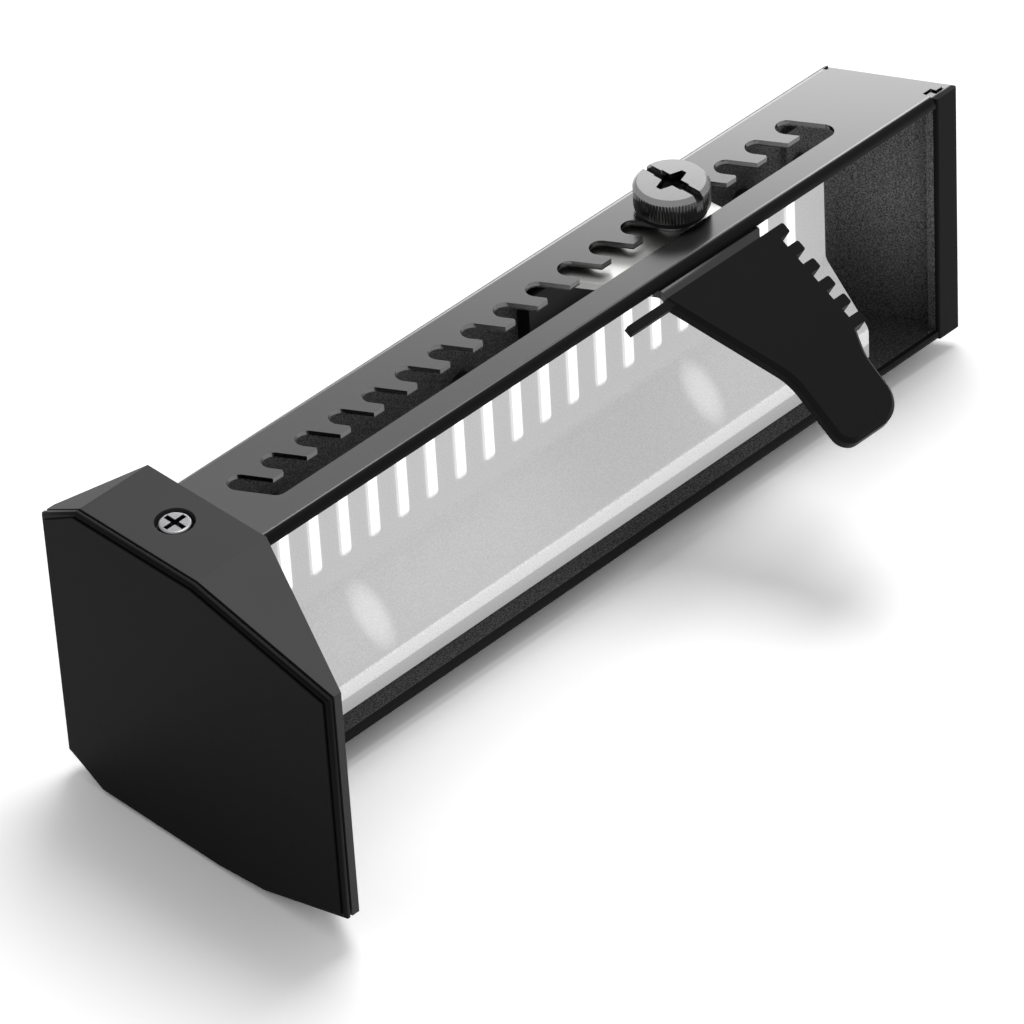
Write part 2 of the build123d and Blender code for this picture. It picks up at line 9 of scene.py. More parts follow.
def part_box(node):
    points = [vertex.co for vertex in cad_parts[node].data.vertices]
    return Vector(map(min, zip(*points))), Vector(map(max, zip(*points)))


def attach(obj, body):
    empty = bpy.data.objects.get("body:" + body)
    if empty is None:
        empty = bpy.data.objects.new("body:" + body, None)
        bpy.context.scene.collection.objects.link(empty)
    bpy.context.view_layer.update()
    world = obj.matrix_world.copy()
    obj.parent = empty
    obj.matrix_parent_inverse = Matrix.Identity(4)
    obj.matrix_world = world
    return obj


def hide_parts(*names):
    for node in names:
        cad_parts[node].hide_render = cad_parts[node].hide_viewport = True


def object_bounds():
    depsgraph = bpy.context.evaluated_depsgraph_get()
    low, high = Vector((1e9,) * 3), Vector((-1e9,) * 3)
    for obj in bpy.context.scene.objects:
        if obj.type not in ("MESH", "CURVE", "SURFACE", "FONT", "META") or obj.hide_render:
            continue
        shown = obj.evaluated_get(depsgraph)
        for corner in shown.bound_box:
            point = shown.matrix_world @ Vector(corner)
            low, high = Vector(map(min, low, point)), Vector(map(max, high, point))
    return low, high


bl_info = {
    "name": "Graphics card support bracket",
    "version": (1, 0, 0),
    "blender": (4, 5, 0),
    "location": "View3D > Sidebar > Support bracket",
    "description": "Finishes the pieces of a graphics card support bracket and lights them in a studio",
    "category": "Object",
}

MM = 0.001
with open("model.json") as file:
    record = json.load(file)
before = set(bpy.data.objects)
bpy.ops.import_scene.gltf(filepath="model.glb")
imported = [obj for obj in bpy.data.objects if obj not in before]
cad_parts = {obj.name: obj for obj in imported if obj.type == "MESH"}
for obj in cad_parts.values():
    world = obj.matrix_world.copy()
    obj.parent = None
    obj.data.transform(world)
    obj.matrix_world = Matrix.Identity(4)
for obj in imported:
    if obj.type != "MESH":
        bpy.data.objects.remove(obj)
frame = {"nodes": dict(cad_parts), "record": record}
cad_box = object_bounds()

# Kinds of shader node, and the numbers of a Mix node's colour sockets
COORDINATES = "ShaderNodeTexCoord"
AXES = "ShaderNodeSeparateXYZ"
MATH = "ShaderNodeMath"
RANGE = "ShaderNodeMapRange"
MIX = "ShaderNodeMix"
NOISE = "ShaderNodeTexNoise"
BUMP = "ShaderNodeBump"
PRINCIPLED = "ShaderNodeBsdfPrincipled"
MIX_SHADER = "ShaderNodeMixShader"
OUTPUT = "ShaderNodeOutputMaterial"
COLOUR_A = 6
COLOUR_B = 7
COLOUR_RESULT = 2

# The outside of the column, whose far end is cut at a slant. Its plating starts a little behind the window's
# side, and what lies deeper than its skin is inside. The dull coat on the window's lips, in front of the plating,
# is painted shade: the plating and the coat are a lit and a shaded copy of one black finish
END_SLANT = math.radians(27.0)
END_LENGTH = 193.6 * MM
SKIN_DEPTH = 0.9 * MM
PLATING_START = 0.9 * MM
PLATING_FULL = 1.4 * MM
PLATED_ROUGH = 0.2
PAINTED_ROUGH = 0.5
STEEL_SHINE = 0.05
PEEL_SIZE = 1.6 * MM
PEEL_SHARE = 0.3
STEEL_RELIEF = 0.005 * MM

# The inside of the column. A coat's grit of about 0.1 mm wouldn't show, so it is drawn coarser. The light
# that falls in near the far end is painted into its colour, from LIT_START to LIT_FULL before that end
GRIT_SIZE = 0.32 * MM
GRIT_SHARE = 2.0
GRIT_DARK = 0.45
GRIT_LIGHT = 1.9
GRIT_DARK_BELOW = 0.35
GRIT_LIGHT_ABOVE = 0.68
LIT_START = 32 * MM
LIT_FULL = 22 * MM
LIT_BOTTOM = -24 * MM
LIT_TOP = 6 * MM
UNLIT_SHARE = 0.42

# The moulded foot. Spark erosion leaves a grain of about 0.05 mm, and it is drawn coarser to show. Real
# ABS has an IOR of about 1.5, and a lower one keeps its black deep in the white room
SPARK_SIZE = 0.25 * MM
SPARK_RELIEF = 0.006 * MM
FOOT_DRIFT_SIZE = 14 * MM
FOOT_DRIFT = 0.07
FOOT_ROUGH = (0.4, 0.5)
FOOT_IOR = 1.25

# Matte skins, whose colour drifts over a piece. Those of the plate and the rubber have a low IOR, as the foot has
DRIFT_SIZE = 20 * MM
DRIFT = 0.1
ROUGH_CHANGE = 0.05

# Nickel and zinc. Brushed lines are about 0.03 mm wide, and they are drawn coarser to show. The knurl and the
# cross recess are measured down from the top of the head
BRUSH_SIZE = 0.12 * MM
BRUSH_STRETCH = 0.04
BRUSH_RELIEF = 0.002 * MM
BRUSH_DARK = 0.9
BRUSH_SMOOTHER = 0.04
BRUSH_ROUGHER = 0.06
ARM_ROUGH = 0.36
ARM_DIP = 1.2 * MM
DIP_ROUGH = 0.3
THUMB_ROUGH = 0.16
KNURL_TOP = 0.85 * MM
KNURL_FADE = 0.2 * MM
KNURL_DARK = 0.3
ZINC_CLOUD = 0.6 * MM
ZINC_DARK = 0.8
ZINC_ROUGH = (0.28, 0.42)
RECESS_TOP = 0.15 * MM
RECESS_BOTTOM = 0.4 * MM
RECESS_DARK = 0.06

# The light panel. Frosting of about 0.05 mm is drawn coarser to show. Glow is the strength of the painted light
# that leaves the panel, where 1 is white. What stands behind its front, from PANEL_SHOWN to PANEL_HIDDEN behind
# it, has painted shade and no glow
FROST_SIZE = 0.3 * MM
FROST_DARK = 0.92
FROST_ROUGH = (0.42, 0.6)
FROST_RELIEF = 0.006 * MM
SPARKLE_START = 0.3
SPARKLE_FULL = 0.7
PANEL_IOR = 1.55
PANEL_GLOW = (0.27, 0.36)
PANEL_FRONT = 4.5 * MM
PANEL_HIDDEN = 2.6 * MM
PANEL_SHOWN = 1.9 * MM
PANEL_PAINTED_SHADE = 0.08
FLUTE_FIRST = 23.1 * MM
FLUTE_PITCH = 7.1 * MM
FLUTE_COUNT = 21
FLUTE_LAST = FLUTE_FIRST + (FLUTE_COUNT - 1) * FLUTE_PITCH
FLUTE_BOTTOM = -3.7 * MM
FLUTE_GLOW = 0.75
STREAK_EDGE = 1.5 * MM
STREAK_CORE = 0.75 * MM
STREAK_BELOW = 0.2 * MM
STREAK_ABOVE = 1.6 * MM
UPRIGHT_EDGE = 0.5 * MM
UPRIGHT_FULL = 0.2 * MM
BEND_TOP = -19.8 * MM
BEND_BOTTOM = BEND_TOP - 3.8 * MM
BEND_FADE = 0.5 * MM
BEND_GLOW = (0.14, 0.36)
SPOT_PLACES = (51.5 * MM, 135.5 * MM)
SPOT_HEIGHT = -14.5 * MM
SPOT_HALF_LENGTH = 3.2 * MM
SPOT_HALF_HEIGHT = 4.6 * MM
SPOT_REACH = 1.6
SPOT_GLOW = 0.18

# How a CAD node's mesh is cleaned and its edges are softened
MERGE_DISTANCE = 0.002 * MM
FLAT_TURN = math.radians(0.5)
EDGE_TURN = math.radians(25)
SHARP_TURN = math.radians(50)
FLAT_WIDTH = 0.7 * MM
SAME_PLANE = 0.99999

# The camera, at the photograph's angle, in millimetres and degrees
CAMERA_AZIMUTH = -42.95
CAMERA_ELEVATION = 38.9
CAMERA_ROLL = -3.56
CAMERA_PLACE = (-563.37, -699.19, 757.06)
CAMERA_LENS = 242.8
CAMERA_SENSOR = 36
CAMERA_CLIP_END = 20

# The studio. The softbox stands where the comb wall mirrors it to the camera
FLOOR_SIZE = 6.0
FLOOR_GAP = 0.05 * MM
PAPER = 0.86
PAPER_SEEN = 0.5
SOFTBOX_WAY = (0.53, 0.57, 0.63)
SOFTBOX_DISTANCE = 380 * MM
SOFTBOX_SIZE = (500 * MM, 340 * MM)
GLOW_START = -18 * MM
GLOW_END = 115 * MM
GLOW_TILT = -1.4
GLOW_LOW = 0.72
GLOW_HIGH = 4.5
KEY_PLACE = (340, 100, 820)
KEY_SIZE = 400 * MM
KEY_POWER = 3.4
WORLD_LIGHT = 0.62


def linear(colour):
    """An sRGB hex colour as linear red, green and blue."""
    channels = [int(colour[i:i + 2], 16) / 255 for i in (1, 3, 5)]
    return [c / 12.92 if c <= 0.04045 else ((c + 0.055) / 1.055) ** 2.4 for c in channels]


def tone(colour, factor=1.0):
    """A linear colour made darker or lighter by a factor, with its alpha."""
    return (*(channel * factor for channel in colour), 1.0)


def colour_property(name, description, default):
    return bpy.props.FloatVectorProperty(
        name=name, description=description, subtype="COLOR", size=3, min=0, max=1, default=linear(default))


def length_property(name, description, default):
    return bpy.props.FloatProperty(
        name=name, description=description, subtype="DISTANCE", unit="LENGTH", min=0, default=default * MM)


class BracketEdges(bpy.types.PropertyGroup):
    sheet_edge: length_property("Sheet edge", "Softened edge of the column's and end plate's sheet", 0.16)
    moulded_edge: length_property("Moulded edge", "Softened edge of the moulded foot", 0.3)
    sleeve_edge: length_property("Sleeve edge", "Softened edge of the arm's sleeve", 0.25)
    screw_edge: length_property("Screw edge", "Softened edge of arm sheet, screws and small pieces", 0.1)
    panel_edge: length_property("Panel edge", "Softened edge of the light panel", 0.15)


class BracketColours(bpy.types.PropertyGroup):
    # Steel plating and steel paint are a lit and a shaded copy of one black finish: the paint on the window's
    # lips is painted shade, and on the arm it is the arm's dipped coat
    steel_nickel: colour_property("Steel plating", "Satin black nickel of column and end plate", "#6a6a6a")
    steel_paint_and_lip_shade: colour_property("Steel paint", "Dull black coat of the lips and the arm", "#181818")
    steel_inside: colour_property("Steel inside", "Grainy coat on the inner faces of the column", "#676767")
    foot_plastic: colour_property("Foot plastic", "Moulded black plastic of the foot", "#363636")
    base_paint: colour_property("Base paint", "Matte black coat of the base plate", "#0a0a0b")
    rubber: colour_property("Rubber", "Pad under the foot and the cable grommet", "#0c0c0d")
    sleeve: colour_property("Sleeve", "Matte nylon of the arm's sleeve", "#101011")
    nickel: colour_property("Nickel", "Nickel plate of the thumb screw", "#909090")
    arm_nickel: colour_property("Arm nickel", "Bright nickel plate of the arm's sheet", "#c8c8c6")
    zinc: colour_property("Zinc", "Zinc plate of the small screws", "#9c9c9e")
    panel: colour_property("Panel", "Frosted plastic of the light panel", "#acacac")
    driver: colour_property("Driver", "Black plastic of the light's driver", "#0c0c0d")
    # On the thumb screw's washer this black is painted shade, for the dark under the screw's head
    small_steel: colour_property("Small steel", "Black coat of the washer and the panel's screws", "#0c0c0d")
    board: colour_property("Board", "White circuit board behind the panel", "#d8d8d2")
    phosphor: colour_property("Phosphor", "Pale yellow lights on the board", "#e8dfae")


def bracket_colours():
    return bpy.context.scene.bracket_colours


def add_node(tree, kind, inputs=None, **settings):
    """Adds a node with its settings and returns its outputs. Each input, by its name or number, takes a
    value or a link from another node's output."""
    node = tree.nodes.new(kind)
    for name, value in settings.items():
        setattr(node, name, value)
    for key, value in (inputs or {}).items():
        if isinstance(value, bpy.types.NodeSocket):
            tree.links.new(value, node.inputs[key])
        else:
            node.inputs[key].default_value = value
    return node.outputs


def new_material(name):
    """An empty material, its node tree, and a point's place on the piece with its X, Y and Z."""
    material = bpy.data.materials.new(name)
    material.use_nodes = True
    tree = material.node_tree
    tree.nodes.clear()
    place = add_node(tree, COORDINATES)["Object"]
    axes = add_node(tree, AXES, {"Vector": place})
    return material, tree, place, axes


def window_side():
    """The Y of the column's open side."""
    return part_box("column")[0][1]


def inside_column(tree, axes):
    """1 on the inner faces of the column's walls and slanted end, and 0 on the outer ones."""
    low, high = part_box("column")
    inside = 1.0
    for axis in (1, 2):
        middle = (low[axis] + high[axis]) / 2
        reach = (high[axis] - low[axis]) / 2 - SKIN_DEPTH
        within = add_node(tree, MATH, {0: axes[axis], 1: middle, 2: reach}, operation="COMPARE")[0]
        inside = add_node(tree, MATH, {0: within, 1: inside}, operation="MULTIPLY")[0]
    slope = math.tan(END_SLANT)
    reach = add_node(tree, MATH, {0: axes["Y"], 1: slope, 2: axes["X"]}, operation="MULTIPLY_ADD")[0]
    end = END_LENGTH - SKIN_DEPTH + window_side() * slope
    before_end = add_node(tree, MATH, {0: reach, 1: end}, operation="LESS_THAN")[0]
    return add_node(tree, MATH, {0: inside, 1: before_end}, operation="MULTIPLY")[0]


def inner_coat(tree, axes, grit):
    """The colour of the thin coat inside, with light and dark grit. The light that falls in near the
    slanted end is painted into it, so it stays there under any light."""
    colour = bracket_colours().steel_inside
    spots = add_node(tree, RANGE, {
        "Value": grit, "From Min": GRIT_DARK_BELOW, "From Max": GRIT_LIGHT_ABOVE},
        interpolation_type="SMOOTHSTEP")[0]
    speckled = add_node(tree, MIX, {
        "Factor": spots, COLOUR_A: tone(colour, GRIT_DARK), COLOUR_B: tone(colour, GRIT_LIGHT)},
        data_type="RGBA")[COLOUR_RESULT]
    far_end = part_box("column")[1][0]
    along = add_node(tree, RANGE, {
        "Value": axes["X"], "From Min": far_end - LIT_START, "From Max": far_end - LIT_FULL},
        interpolation_type="SMOOTHSTEP")[0]
    up = add_node(tree, RANGE, {
        "Value": axes["Z"], "From Min": LIT_BOTTOM, "From Max": LIT_TOP},
        interpolation_type="SMOOTHSTEP")[0]
    lit = add_node(tree, MATH, {0: along, 1: up}, operation="MULTIPLY")[0]
    shade = add_node(tree, RANGE, {"Value": lit, "To Min": UNLIT_SHARE, "To Max": 1.0})[0]
    return add_node(tree, MIX, {"Factor": 1.0, COLOUR_A: speckled, COLOUR_B: shade},
                    data_type="RGBA", blend_type="MULTIPLY")[COLOUR_RESULT]


def black_plated_steel():
    """Folded steel with a satin black nickel outside, which mirrors softly, a dull black coat on the
    lips of the window, and a coarse, thin coat inside the column that shows as grey grain. The plating and the
    lips' dull coat are a lit and a shaded copy of one black finish, the coat being painted shade."""
    material, tree, place, axes = new_material("black_plated_steel")
    colours = bracket_colours()
    inside = inside_column(tree, axes)
    window = window_side()
    # Plated from a little behind the window's side. In front of that, on the lips, the dull coat is painted shade
    plated = add_node(tree, RANGE, {
        "Value": axes["Y"], "From Min": window + PLATING_START, "From Max": window + PLATING_FULL},
        interpolation_type="SMOOTHSTEP")[0]
    outside = add_node(tree, MATH, {0: 1.0, 1: inside}, operation="SUBTRACT")[0]
    metal = add_node(tree, MATH, {0: plated, 1: outside}, operation="MULTIPLY")[0]
    outer_colour = add_node(tree, MIX, {
        "Factor": plated, COLOUR_A: tone(colours.steel_paint_and_lip_shade), COLOUR_B: tone(colours.steel_nickel)},
        data_type="RGBA")[COLOUR_RESULT]
    grit = add_node(tree, NOISE, {"Vector": place, "Scale": 1 / GRIT_SIZE, "Roughness": 0.7})["Fac"]
    colour = add_node(tree, MIX, {
        "Factor": inside, COLOUR_A: outer_colour, COLOUR_B: inner_coat(tree, axes, grit)},
        data_type="RGBA")[COLOUR_RESULT]
    peel = add_node(tree, NOISE, {"Vector": place, "Scale": 1 / PEEL_SIZE, "Detail": 3.0})["Fac"]
    waves = add_node(tree, MATH, {0: peel, 1: PEEL_SHARE}, operation="MULTIPLY")[0]
    inner_grit = add_node(tree, MATH, {0: grit, 1: inside}, operation="MULTIPLY")[0]
    height = add_node(tree, MATH, {0: inner_grit, 1: GRIT_SHARE, 2: waves}, operation="MULTIPLY_ADD")[0]
    rough = add_node(tree, RANGE, {"Value": metal, "To Min": PAINTED_ROUGH, "To Max": PLATED_ROUGH})[0]
    shader = add_node(tree, PRINCIPLED, {
        "Base Color": colour,
        "Metallic": metal,
        "Roughness": rough,
        "Specular IOR Level": STEEL_SHINE,
        "Normal": add_node(tree, BUMP, {"Height": height, "Distance": STEEL_RELIEF})[0]})[0]
    add_node(tree, OUTPUT, {"Surface": shader})
    return material


def moulded_abs():
    """Injection-moulded black ABS with a fine spark-eroded grain: an even, slightly grey satin."""
    material, tree, place, _ = new_material("moulded_abs")
    colour = bracket_colours().foot_plastic
    spark = add_node(tree, NOISE, {"Vector": place, "Scale": 1 / SPARK_SIZE, "Roughness": 0.6})["Fac"]
    drift = add_node(tree, NOISE, {"Vector": place, "Scale": 1 / FOOT_DRIFT_SIZE, "Detail": 1.0})["Fac"]
    drifting = add_node(tree, MIX, {
        "Factor": drift, COLOUR_A: tone(colour, 1 - FOOT_DRIFT), COLOUR_B: tone(colour, 1 + FOOT_DRIFT)},
        data_type="RGBA")[COLOUR_RESULT]
    rough = add_node(tree, RANGE, {"Value": spark, "To Min": FOOT_ROUGH[0], "To Max": FOOT_ROUGH[1]})[0]
    shader = add_node(tree, PRINCIPLED, {
        "Base Color": drifting,
        "Roughness": rough,
        "IOR": FOOT_IOR,
        "Normal": add_node(tree, BUMP, {"Height": spark, "Distance": SPARK_RELIEF})[0]})[0]
    add_node(tree, OUTPUT, {"Surface": shader})
    return material


def matte_skin(name, colour, grit_width, rough, relief, shine=0.5, ior=1.45):
    """A dull skin whose colour drifts a little, with grit of a width and relief given in millimetres. Real
    grit is finer, and is drawn this coarse to show."""
    material, tree, place, _ = new_material(name)
    grit = add_node(tree, NOISE, {
        "Vector": place, "Scale": 1 / (grit_width * MM), "Detail": 3.0, "Roughness": 0.6})["Fac"]
    drift = add_node(tree, NOISE, {"Vector": place, "Scale": 1 / DRIFT_SIZE, "Detail": 1.0})["Fac"]
    drifting = add_node(tree, MIX, {
        "Factor": drift, COLOUR_A: tone(colour, 1 - DRIFT), COLOUR_B: tone(colour, 1 + DRIFT)},
        data_type="RGBA")[COLOUR_RESULT]
    rough = add_node(tree, RANGE, {
        "Value": grit, "To Min": rough - ROUGH_CHANGE, "To Max": rough + ROUGH_CHANGE})[0]
    shader = add_node(tree, PRINCIPLED, {
        "Base Color": drifting,
        "Roughness": rough,
        "IOR": ior,
        "Specular IOR Level": shine,
        "Normal": add_node(tree, BUMP, {"Height": grit, "Distance": relief * MM})[0]})[0]
    add_node(tree, OUTPUT, {"Surface": shader})
    return material


def epoxy_coated_plate():
    """Steel plate under a smooth matte black epoxy coat: dark, with a broad soft sheen."""
    return matte_skin("epoxy_coated_plate", bracket_colours().base_paint,
                      grit_width=0.5, rough=0.4, relief=0.004, ior=1.15)


def nitrile_rubber():
    """Moulded nitrile rubber: deep black and dull."""
    return matte_skin("nitrile_rubber", bracket_colours().rubber,
                      grit_width=0.4, rough=0.45, relief=0.006, ior=1.12)


def glass_filled_nylon():
    """Moulded glass-filled nylon: black, with a dry matte skin."""
    return matte_skin("glass_filled_nylon", bracket_colours().sleeve,
                      grit_width=0.3, rough=0.5, relief=0.006, shine=0.1)


def driver_case():
    """Moulded polycarbonate case of the light's driver: plain dull black."""
    return matte_skin("driver_case", bracket_colours().driver,
                      grit_width=0.4, rough=0.55, relief=0.004, shine=0.2)


def black_coated_steel():
    """Small steel pieces under a thin black coat: dull, with hardly any shine. On the thumb screw's washer
    this black is painted shade, for the dark under the screw's head.
    """
    return matte_skin("black_coated_steel", bracket_colours().small_steel,
                      grit_width=0.4, rough=0.55, relief=0.004, shine=0.2)


def white_board():
    """Glass-epoxy circuit board under white solder resist."""
    return matte_skin("white_board", bracket_colours().board, grit_width=0.5, rough=0.4, relief=0.002)


def light_package():
    """Moulded light package with a pale yellow phosphor."""
    return matte_skin("light_package", bracket_colours().phosphor, grit_width=0.3, rough=0.3, relief=0.002)


def brush_lines(tree, place):
    """Lines along X, as brushing before the plating leaves them."""
    stretched = add_node(tree, "ShaderNodeMapping", {"Vector": place, "Scale": (BRUSH_STRETCH, 1.0, 1.0)})[0]
    return add_node(tree, NOISE, {
        "Vector": stretched, "Scale": 1 / BRUSH_SIZE, "Detail": 3.0, "Roughness": 0.6})["Fac"]


def brushed_colour(tree, lines, colour):
    return add_node(tree, MIX, {
        "Factor": lines, COLOUR_A: tone(colour, BRUSH_DARK), COLOUR_B: tone(colour)},
        data_type="RGBA")[COLOUR_RESULT]


def brushed_nickel(tree, lines, colour, rough):
    """The shader of nickel plate over brushed steel: bright, with fine dark lines across its shine."""
    rough = add_node(tree, RANGE, {
        "Value": lines, "To Min": rough - BRUSH_SMOOTHER, "To Max": rough + BRUSH_ROUGHER})[0]
    return add_node(tree, PRINCIPLED, {
        "Base Color": colour,
        "Metallic": 1.0,
        "Roughness": rough,
        "Normal": add_node(tree, BUMP, {"Height": lines, "Distance": BRUSH_RELIEF})[0]})[0]


def nickel_sheet():
    """The arm's nickel-plated sheet, whose blade outside the window is dipped in a dull black coat."""
    material, tree, place, axes = new_material("nickel_sheet")
    lines = brush_lines(tree, place)
    plate = brushed_nickel(tree, lines, brushed_colour(tree, lines, bracket_colours().arm_nickel), ARM_ROUGH)
    coat = add_node(tree, PRINCIPLED, {
        "Base Color": tone(bracket_colours().steel_paint_and_lip_shade), "Roughness": DIP_ROUGH})[0]
    dipped = add_node(tree, MATH, {0: axes["Y"], 1: window_side() + ARM_DIP}, operation="LESS_THAN")[0]
    shader = add_node(tree, MIX_SHADER, {"Fac": dipped, 1: plate, 2: coat})[0]
    add_node(tree, OUTPUT, {"Surface": shader})
    return material


def nickel_turned():
    """The thumb screw's turned and nickel-plated steel. Its knurled side is painted darker than its top,
    for the shade that lies between the knurls."""
    material, tree, place, axes = new_material("nickel_turned")
    lines = brush_lines(tree, place)
    knurl_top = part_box("thumb_screw")[1][2] - KNURL_TOP
    above = add_node(tree, RANGE, {
        "Value": axes["Z"], "From Min": knurl_top - KNURL_FADE, "From Max": knurl_top},
        interpolation_type="SMOOTHSTEP")[0]
    shade = add_node(tree, RANGE, {"Value": above, "To Min": KNURL_DARK, "To Max": 1.0})[0]
    colour = add_node(tree, MIX, {
        "Factor": 1.0, COLOUR_A: brushed_colour(tree, lines, bracket_colours().nickel), COLOUR_B: shade},
        data_type="RGBA", blend_type="MULTIPLY")[COLOUR_RESULT]
    add_node(tree, OUTPUT, {"Surface": brushed_nickel(tree, lines, colour, THUMB_ROUGH)})
    return material


def zinc_plate(head_top=None):
    """Zinc-plated steel: grey and a little cloudy. On a screw whose head ends at head_top, above or below
    the middle, the shade down in the cross recess is painted in."""
    material, tree, place, axes = new_material("zinc_plate")
    plain = bracket_colours().zinc
    cloud = add_node(tree, NOISE, {"Vector": place, "Scale": 1 / ZINC_CLOUD, "Detail": 3.0})["Fac"]
    colour = add_node(tree, MIX, {
        "Factor": cloud, COLOUR_A: tone(plain, ZINC_DARK), COLOUR_B: tone(plain)},
        data_type="RGBA")[COLOUR_RESULT]
    if head_top is not None:
        height = add_node(tree, MATH, {0: axes["Z"]}, operation="ABSOLUTE")[0]
        open_air = add_node(tree, RANGE, {
            "Value": height, "From Min": head_top - RECESS_BOTTOM, "From Max": head_top - RECESS_TOP},
            interpolation_type="SMOOTHSTEP")[0]
        shade = add_node(tree, RANGE, {"Value": open_air, "To Min": RECESS_DARK, "To Max": 1.0})[0]
        colour = add_node(tree, MIX, {"Factor": 1.0, COLOUR_A: colour, COLOUR_B: shade},
                          data_type="RGBA", blend_type="MULTIPLY")[COLOUR_RESULT]
    rough = add_node(tree, RANGE, {"Value": cloud, "To Min": ZINC_ROUGH[0], "To Max": ZINC_ROUGH[1]})[0]
    shader = add_node(tree, PRINCIPLED, {"Base Color": colour, "Metallic": 1.0, "Roughness": rough})[0]
    add_node(tree, OUTPUT, {"Surface": shader})
    return material


def flute_streaks(tree, axes):
    """1 along the middle of each flute on the panel's upright part, which carries the light down."""
    from_first = add_node(tree, MATH, {0: axes["X"], 1: FLUTE_FIRST}, operation="SUBTRACT")[0]
    distance = add_node(tree, MATH, {0: from_first, 1: FLUTE_PITCH / 2}, operation="PINGPONG")[0]
    across = add_node(tree, RANGE, {
        "Value": distance, "From Min": STREAK_EDGE, "From Max": STREAK_CORE},
        interpolation_type="SMOOTHSTEP")[0]
    down = add_node(tree, RANGE, {
        "Value": axes["Z"], "From Min": FLUTE_BOTTOM - STREAK_BELOW, "From Max": FLUTE_BOTTOM + STREAK_ABOVE},
        interpolation_type="SMOOTHSTEP")[0]
    upright = add_node(tree, RANGE, {
        "Value": axes["Y"], "From Min": PANEL_FRONT + UPRIGHT_EDGE, "From Max": PANEL_FRONT + UPRIGHT_FULL},
        interpolation_type="SMOOTHSTEP")[0]
    in_row = add_node(tree, MATH, {0: axes["X"], 1: FLUTE_LAST + FLUTE_PITCH / 2}, operation="LESS_THAN")[0]
    streak = across
    for share in (down, upright, in_row):
        streak = add_node(tree, MATH, {0: streak, 1: share}, operation="MULTIPLY")[0]
    return streak


def slope_spots(tree, axes):
    """Two soft oval spots of light on the panel's slope."""
    total = 0.0
    for x in SPOT_PLACES:
        squares = 0.0
        for axis, middle, half in (("X", x, SPOT_HALF_LENGTH), ("Z", SPOT_HEIGHT, SPOT_HALF_HEIGHT)):
            offset = add_node(tree, MATH, {0: axes[axis], 1: middle}, operation="SUBTRACT")[0]
            offset = add_node(tree, MATH, {0: offset, 1: half}, operation="DIVIDE")[0]
            squares = add_node(tree, MATH, {0: offset, 1: offset, 2: squares}, operation="MULTIPLY_ADD")[0]
        spot = add_node(tree, RANGE, {
            "Value": squares, "From Min": SPOT_REACH, "From Max": 0.0}, interpolation_type="SMOOTHSTEP")[0]
        total = add_node(tree, MATH, {0: spot, 1: total}, operation="ADD")[0]
    return total


def bend_band(tree, axes):
    """1 on the band under the panel's bend, where the light leaves it."""
    bottom = add_node(tree, RANGE, {
        "Value": axes["Z"], "From Min": BEND_BOTTOM, "From Max": BEND_BOTTOM + BEND_FADE},
        interpolation_type="SMOOTHSTEP")[0]
    top = add_node(tree, RANGE, {
        "Value": axes["Z"], "From Min": BEND_TOP, "From Max": BEND_TOP - BEND_FADE},
        interpolation_type="SMOOTHSTEP")[0]
    return add_node(tree, MATH, {0: bottom, 1: top}, operation="MULTIPLY")[0]


def frosted_polycarbonate():
    """Frosted polycarbonate over a row of lights: milky grey-white, with a fine painted sparkle of glow in the
    frosting.
    Its glow over the whole panel, brighter in the flutes, in two spots on the slope and under the bend, is
    painted in, because the lights behind it don't shine, and what stands behind its front has painted shade and
    no glow."""
    material, tree, place, axes = new_material("frosted_polycarbonate")
    plain = bracket_colours().panel
    frost = add_node(tree, NOISE, {"Vector": place, "Scale": 1 / FROST_SIZE, "Roughness": 0.7})["Fac"]
    sparkle = add_node(tree, RANGE, {
        "Value": frost, "From Min": SPARKLE_START, "From Max": SPARKLE_FULL},
        interpolation_type="SMOOTHSTEP")[0]
    glow = add_node(tree, RANGE, {"Value": sparkle, "To Min": PANEL_GLOW[0], "To Max": PANEL_GLOW[1]})[0]
    bend_glow = add_node(tree, RANGE, {"Value": sparkle, "To Min": BEND_GLOW[0], "To Max": BEND_GLOW[1]})[0]
    for region, strength in (
            (bend_band(tree, axes), bend_glow),
            (slope_spots(tree, axes), SPOT_GLOW),
            (flute_streaks(tree, axes), FLUTE_GLOW)):
        glow = add_node(tree, MATH, {0: region, 1: strength, 2: glow}, operation="MULTIPLY_ADD")[0]
    # Painted shade: what stands deeper behind the panel's front is drawn dark and gets no glow
    shown = add_node(tree, RANGE, {
        "Value": axes["Y"], "From Min": PANEL_FRONT + PANEL_HIDDEN, "From Max": PANEL_FRONT + PANEL_SHOWN},
        interpolation_type="SMOOTHSTEP")[0]
    frosted = add_node(tree, MIX, {
        "Factor": frost, COLOUR_A: tone(plain, FROST_DARK), COLOUR_B: tone(plain)},
        data_type="RGBA")[COLOUR_RESULT]
    shade = add_node(tree, RANGE, {"Value": shown, "To Min": PANEL_PAINTED_SHADE, "To Max": 1.0})[0]
    colour = add_node(tree, MIX, {"Factor": 1.0, COLOUR_A: frosted, COLOUR_B: shade},
                      data_type="RGBA", blend_type="MULTIPLY")[COLOUR_RESULT]
    rough = add_node(tree, RANGE, {"Value": frost, "To Min": FROST_ROUGH[0], "To Max": FROST_ROUGH[1]})[0]
    shader = add_node(tree, PRINCIPLED, {
        "Base Color": colour,
        "Roughness": rough,
        "IOR": PANEL_IOR,
        "Emission Color": (1, 1, 1, 1),
        "Emission Strength": add_node(tree, MATH, {0: glow, 1: shown}, operation="MULTIPLY")[0],
        "Normal": add_node(tree, BUMP, {"Height": frost, "Distance": FROST_RELIEF})[0]})[0]
    add_node(tree, OUTPUT, {"Surface": shader})
    return material


